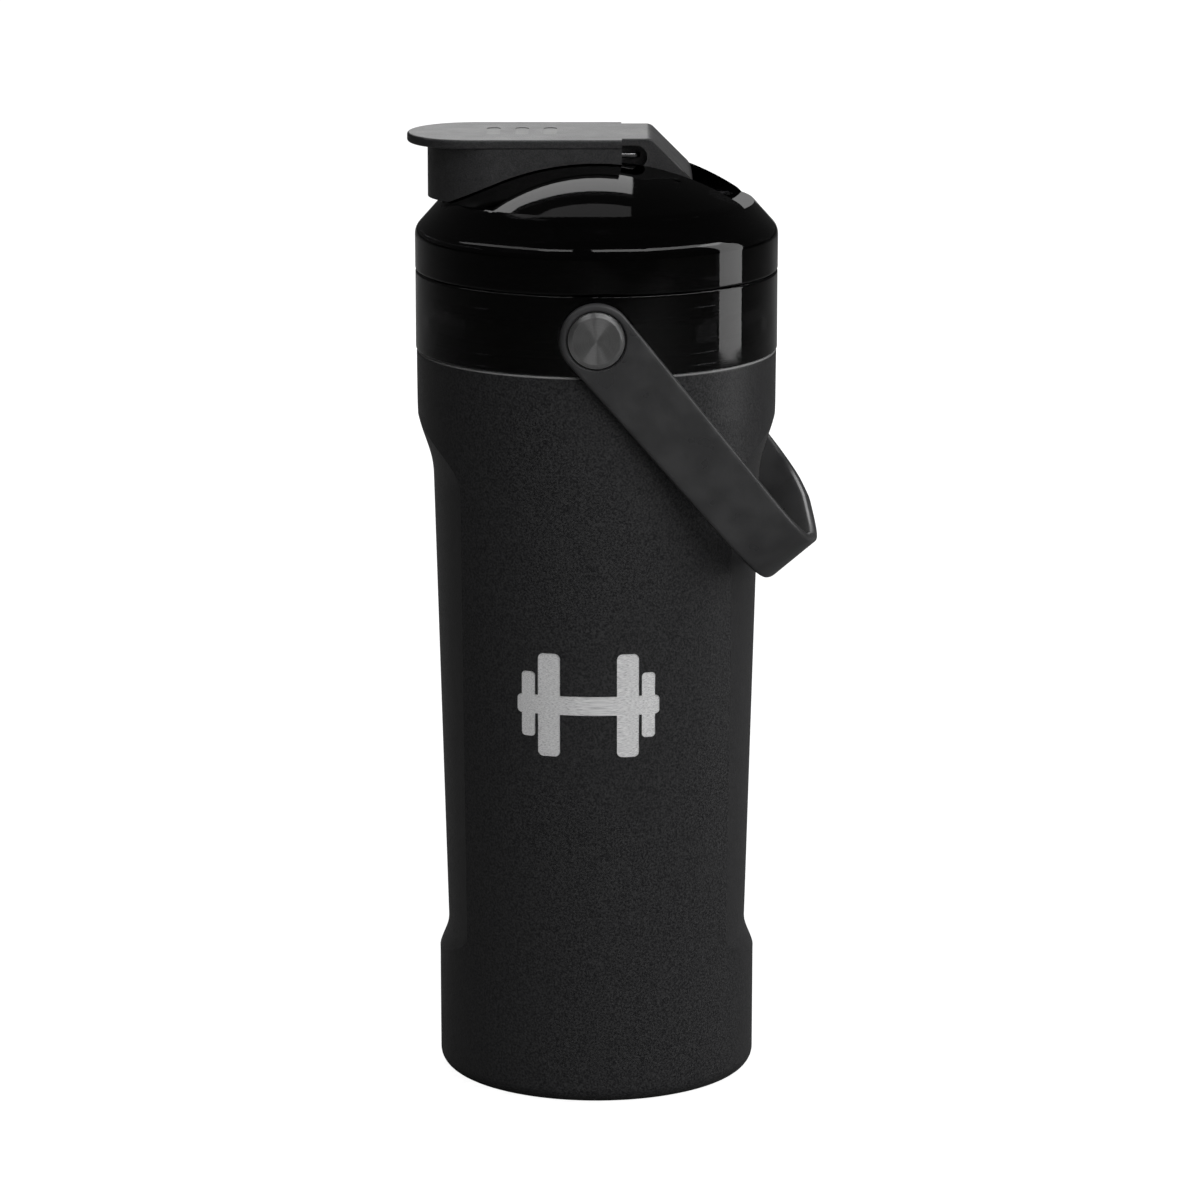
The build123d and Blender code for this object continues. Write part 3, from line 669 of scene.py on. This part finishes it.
def camera():
    data = bpy.data.cameras.new("camera")
    data.lens = CAMERA_LENS
    data.sensor_width = CAMERA_SENSOR
    data.clip_end = CAMERA_CLIP
    view = bpy.data.objects.new("camera", data)
    back = Vector((0, -cos(CAMERA_ELEVATION), sin(CAMERA_ELEVATION)))
    view.location = CAMERA_AIM + CAMERA_DISTANCE * back
    view.rotation_euler = (-back).to_track_quat("-Z", "Y").to_euler()
    bpy.context.scene.collection.objects.link(view)
    bpy.context.scene.camera = view


def lights():
    softbox_at("strip_right", 93, 5, distance=1.1, wide=21, tall=80, radiance=2.2)
    softbox_at("low_rear", 177, 5, distance=1.6, wide=18, tall=14, radiance=0.35)
    ceiling_panel("ceiling_rear", x_range=(-0.75, 0.183), y_range=(0.52, 4.0), radiance=2.1)
    ceiling_panel("ceiling_middle", x_range=(-0.58, 0.183), y_range=(0.06, 0.33), radiance=0.4)
    ceiling_bar("left_bar", start=(-0.24, -0.6), end=(-0.58, -0.52), width=0.22, radiance=2.2)
    ceiling_bar("far_left_bar", start=(-0.52, -0.5), end=(-1.55, 0.5), width=0.22, radiance=1.1)
    ceiling_bar("right_bar", start=(-0.03, -0.6), end=(0.58, -0.52), width=0.22, radiance=2.6)
    ceiling_bar("far_right_bar", start=(0.52, -0.5), end=(1.3, 0.22), width=0.3, radiance=2.2)
    softbox_at("fill_right", 36, 30, distance=1.2, wide=46, tall=46, radiance=1.3, soft=True)
    softbox_at("fill_front", 22, 22, distance=1.2, wide=50, tall=50, radiance=2.2, soft=True)
    softbox_at("fill_rear", 175, 25, distance=1.2, wide=60, tall=60, radiance=1.3, soft=True)


# ---------------------------------------------------------------- assembly


def paint(names, material):
    """Gives CAD nodes one material in every slot."""
    for name in names:
        slots = NODES[name].data.materials
        slots.clear()
        slots.append(material)


def soft_parts():
    silicone = soft_rubber("silicone", grey(0.05, 0.002), grey(0.075, 0.003), 0.45)
    rubber = soft_rubber("strap_rubber", grey(0.034, 0.001), grey(0.045, 0.001), 0.32)
    carry_strap(rubber)
    ribbed_ring("collar_gasket_ring", "collar_gasket", "collar_seal", silicone)
    ribbed_ring("dome_gasket_ring", "dome_gasket", "dome_seal", silicone)
    spout_plug(silicone)


def steel_parts():
    pivot = tuple(STRAP_PIVOT)
    emblem = brushed_steel("emblem_steel", along=(1, 0, 0), brightness=0.92)
    liner = spun_steel("liner_steel", (0, 0, 0), axis=(0, 0, 1), roughness=0.34, dark=0.4, light=0.62)
    button = spun_steel("spun_steel", pivot, axis=(0, 1, 0), roughness=0.45, dark=0.66, light=0.92)
    wire = cast_metal("wire_steel", grey(0.55, 0.01), grey(0.72, 0.01), 0.18)
    paint(["front_emblem"], emblem)
    paint(["inner_liner", "base_disc"], liner)
    paint(["pivot_caps"], button)
    paint(["hinge_pin", "detent_spring"], wire)


def other_metal_parts():
    getter = cast_metal("getter_metal", (0.25, 0.24, 0.23), (0.4, 0.39, 0.38), 0.5)
    brass = cast_metal("insert_brass", (0.6, 0.42, 0.16), (0.82, 0.6, 0.26), 0.3)
    paint(["vacuum_getter"], getter)
    paint(["threaded_inserts"], brass)


def plastic_parts():
    resin = textured_plastic("plug_resin", grey(0.06), grey(0.1), 0.45)
    nylon = textured_plastic("bearing_nylon", grey(0.024), grey(0.038), 0.4)
    grid = textured_plastic("grid_plastic", grey(0.04, 0.002), grey(0.062, 0.002), 0.35)
    inlay = textured_plastic("inlay_plastic", grey(0.1), grey(0.16), 0.35)
    looks = {"size": 0.3 * MM, "height": 0.05 * MM, "specular": 1.0}
    cap = textured_plastic("cap_plastic", grey(0.009, 0.001), grey(0.042, 0.001), 0.35, **looks)
    paint(["vacuum_seal_plug"], resin)
    paint(["pivot_washers", "pivot_bushes"], nylon)
    paint(["agitator"], grid)
    paint(["cap_inlay"], inlay)
    paint(["flip_cap"], cap)
    paint(["collar_ring", "dome_shell"], smoked_plastic())


paint(["outer_shell"], powder_coat())
steel_parts()
other_metal_parts()
plastic_parts()
soft_parts()

lights()
floor()
surroundings()
camera()
bpy.context.scene.view_settings.view_transform = "Standard"
